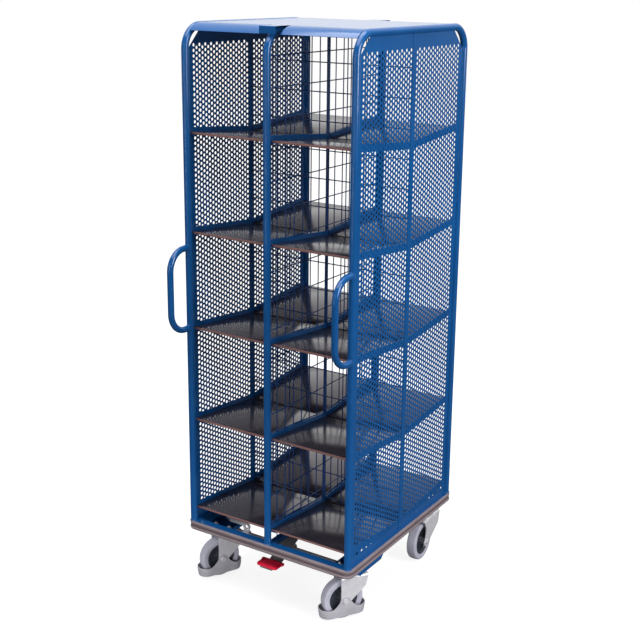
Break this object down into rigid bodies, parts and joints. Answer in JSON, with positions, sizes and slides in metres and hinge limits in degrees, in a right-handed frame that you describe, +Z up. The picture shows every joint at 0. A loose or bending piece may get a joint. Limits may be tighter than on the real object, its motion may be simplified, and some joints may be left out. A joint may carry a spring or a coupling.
{
  "type": "file trolley",
  "caption": "Tall two-sided file trolley: blue tube frame, perforated sides, tilted shelves split by wire mesh, sheet roof, bumper, push handles and braked swivel casters.",
  "frame": {"origin": "on the floor, under the middle of the whole width and of the whole depth with the handles", "axes": "+X across the width, -Y to the handles, +Z up"},
  "size_m": [0.695, 0.8475, 2.018],
  "materials": {
    "blue_paint": "smooth semi-gloss powder coat",
    "bumper_rubber": "matt grey-brown strip",
    "shelf_ply": "dark film-faced plywood",
    "zinc": "bright zinc plate",
    "dark_steel": "dark oiled steel",
    "red_plastic": "moulded red plastic",
    "tyre_rubber": "non-marking grey rubber",
    "hub_plastic": "dark moulded core"
  },
  "bodies": {
    "frame": {"left_side_tube": "blue_paint", "right_side_tube": "blue_paint", "middle_tube": "blue_paint", "left_panel": "blue_paint", "right_panel": "blue_paint", "left_panel_bar": "blue_paint", "right_panel_bar": "blue_paint", "roof": "blue_paint", "left_handle": "blue_paint", "right_handle": "blue_paint", "base_front_rail": "blue_paint", "base_rear_rail": "blue_paint", "base_left_rail": "blue_paint", "base_right_rail": "blue_paint", "base_middle_rail": "blue_paint", "base_cross_rails": "blue_paint", "caster_brackets": "blue_paint", "left_shelf_angles": "blue_paint", "right_shelf_angles": "blue_paint", "middle_shelf_angles": "blue_paint", "center_post": "blue_paint", "front_mesh": "blue_paint", "rear_mesh": "blue_paint", "left_mesh": "blue_paint", "right_mesh": "blue_paint", "bumper": "bumper_rubber", "shelf_1": "shelf_ply", "shelf_2": "shelf_ply", "shelf_3": "shelf_ply", "shelf_4": "shelf_ply", "shelf_5": "shelf_ply", "front_caster_heads": "zinc", "rear_caster_heads": "zinc", "king_nuts": "zinc"},
    "brake": {"brake_shaft": "zinc", "brake_cams": "zinc", "brake_levers": "zinc", "pedal_arm": "dark_steel", "pedal_pad": "red_plastic"},
    "left_plunger": {"left_plunger": "zinc"},
    "right_plunger": {"right_plunger": "zinc"},
    "front_left_swivel": {"front_left_fork": "zinc", "front_left_axle": "zinc", "front_left_guard": "zinc"},
    "front_left_wheel": {"front_left_tyre": "tyre_rubber", "front_left_hub": "hub_plastic"},
    "front_right_swivel": {"front_right_fork": "zinc", "front_right_axle": "zinc", "front_right_guard": "zinc"},
    "front_right_wheel": {"front_right_tyre": "tyre_rubber", "front_right_hub": "hub_plastic"},
    "rear_left_swivel": {"rear_left_fork": "zinc", "rear_left_axle": "zinc"},
    "rear_left_wheel": {"rear_left_tyre": "tyre_rubber", "rear_left_hub": "hub_plastic"},
    "rear_right_swivel": {"rear_right_fork": "zinc", "rear_right_axle": "zinc"},
    "rear_right_wheel": {"rear_right_tyre": "tyre_rubber", "rear_right_hub": "hub_plastic"}
  },
  "joints": [
    {"name": "brake_pedal", "type": "hinge", "parent": "frame", "child": "brake", "pos_m": [0, -0.18325, 0.179], "axis": [1, 0, 0], "range_deg": [0, 20]},
    {"name": "left_plunger_slide", "type": "slide", "parent": "frame", "child": "left_plunger", "axis": [0, 0, -1], "range_m": [0, 0.00298]},
    {"name": "right_plunger_slide", "type": "slide", "parent": "frame", "child": "right_plunger", "axis": [0, 0, -1], "range_m": [0, 0.00298]},
    {"name": "front_left_swivel_turn", "type": "hinge", "parent": "frame", "child": "front_left_swivel", "pos_m": [-0.2705, -0.18325, 0.075], "axis": [0, 0, 1], "continuous": true},
    {"name": "front_left_wheel_turn", "type": "hinge", "parent": "front_left_swivel", "child": "front_left_wheel", "pos_m": [-0.28879, -0.21994, 0.075], "axis": [0.8949, -0.4462, 0], "continuous": true},
    {"name": "front_right_swivel_turn", "type": "hinge", "parent": "frame", "child": "front_right_swivel", "pos_m": [0.2705, -0.18325, 0.075], "axis": [0, 0, 1], "continuous": true},
    {"name": "front_right_wheel_turn", "type": "hinge", "parent": "front_right_swivel", "child": "front_right_wheel", "pos_m": [0.24817, -0.21763, 0.075], "axis": [0.8387, -0.5446, 0], "continuous": true},
    {"name": "rear_left_swivel_turn", "type": "hinge", "parent": "frame", "child": "rear_left_swivel", "pos_m": [-0.2705, 0.34375, 0.075], "axis": [0, 0, 1], "continuous": true},
    {"name": "rear_left_wheel_turn", "type": "hinge", "parent": "rear_left_swivel", "child": "rear_left_wheel", "pos_m": [-0.26835, 0.30281, 0.075], "axis": [0.9986, 0.0523, 0], "continuous": true},
    {"name": "rear_right_swivel_turn", "type": "hinge", "parent": "frame", "child": "rear_right_swivel", "pos_m": [0.2705, 0.34375, 0.075], "axis": [0, 0, 1], "continuous": true},
    {"name": "rear_right_wheel_turn", "type": "hinge", "parent": "rear_right_swivel", "child": "rear_right_wheel", "pos_m": [0.27265, 0.30281, 0.075], "axis": [0.9986, 0.0523, 0], "continuous": true}
  ],
  "couplings": [
    {"joint": "left_plunger_slide", "follows": "brake_pedal", "m_per_rad": 0.0085227},
    {"joint": "right_plunger_slide", "follows": "brake_pedal", "m_per_rad": 0.0085227}
  ]
}
